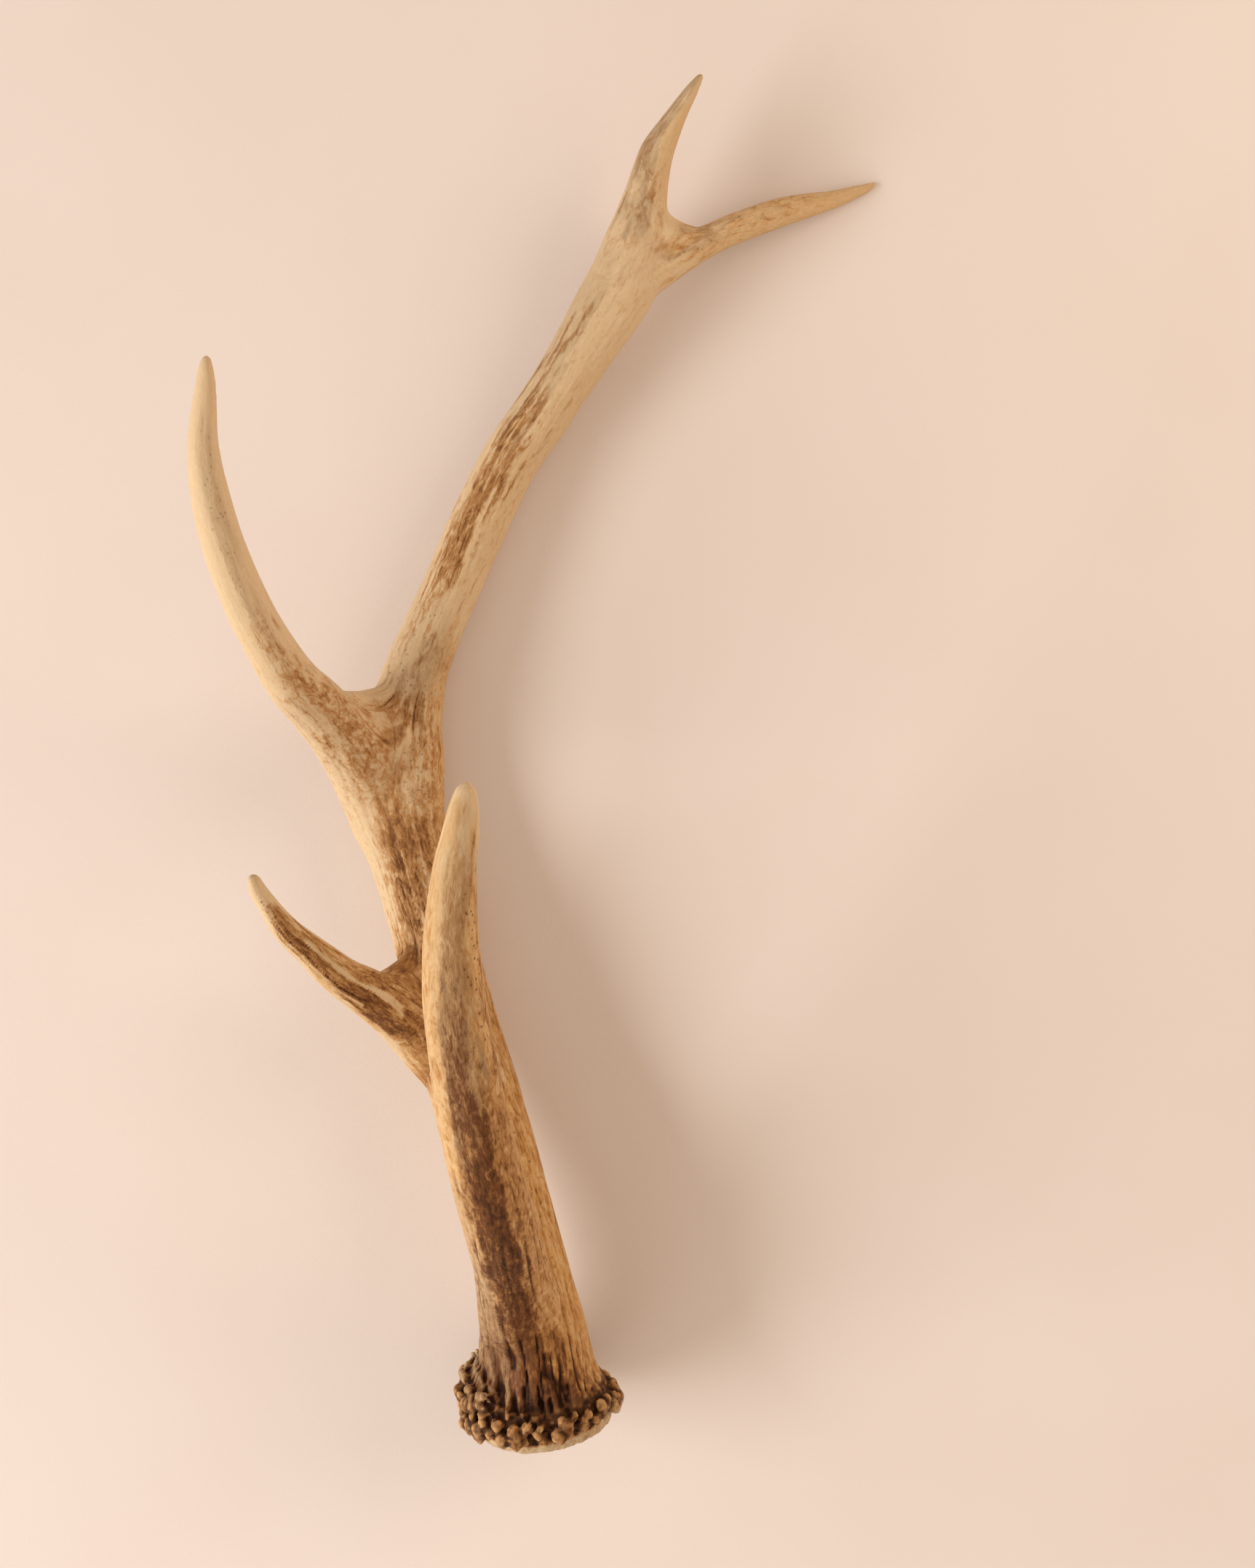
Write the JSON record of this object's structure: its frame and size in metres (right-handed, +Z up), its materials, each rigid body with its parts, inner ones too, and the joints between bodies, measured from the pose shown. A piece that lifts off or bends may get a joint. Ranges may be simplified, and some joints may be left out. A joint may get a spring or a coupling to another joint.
{
  "type": "deer antler",
  "caption": "Shed deer antler lying on its side: a curved beam with a pearled burr at its foot, long forward tines and a forked crown.",
  "frame": {"origin": "centre of the bounding box, at the table's height", "axes": "+X towards the side the back tine of the crown points to, +Y from the burr to the crown, +Z up from the table the antler lies on"},
  "size_m": [0.2478, 0.5232, 0.1971],
  "materials": {
    "burr_and_lower_beam": "bone stained brown between golden ridges, matte to satin, rough pearls round the burr",
    "brow_tine": "ivory to golden bone, smooth and satin",
    "bez_tine": "bone with dark brown streaks and an ivory tip, satin",
    "middle_beam": "bone with fine brown stained grain, satin",
    "trez_tine": "ivory bone with a tan stain, smooth and satin",
    "upper_beam": "golden ivory bone with a brown speckled streak, satin",
    "top_tine": "ivory and tan bone with greyish blotches, smooth",
    "back_tine": "golden tan bone, smooth and satin"
  },
  "bodies": {
    "root": {"burr_and_lower_beam": "burr_and_lower_beam", "brow_tine": "brow_tine", "bez_tine": "bez_tine", "middle_beam": "middle_beam", "trez_tine": "trez_tine", "upper_beam": "upper_beam", "top_tine": "top_tine", "back_tine": "back_tine"}
  },
  "joints": []
}
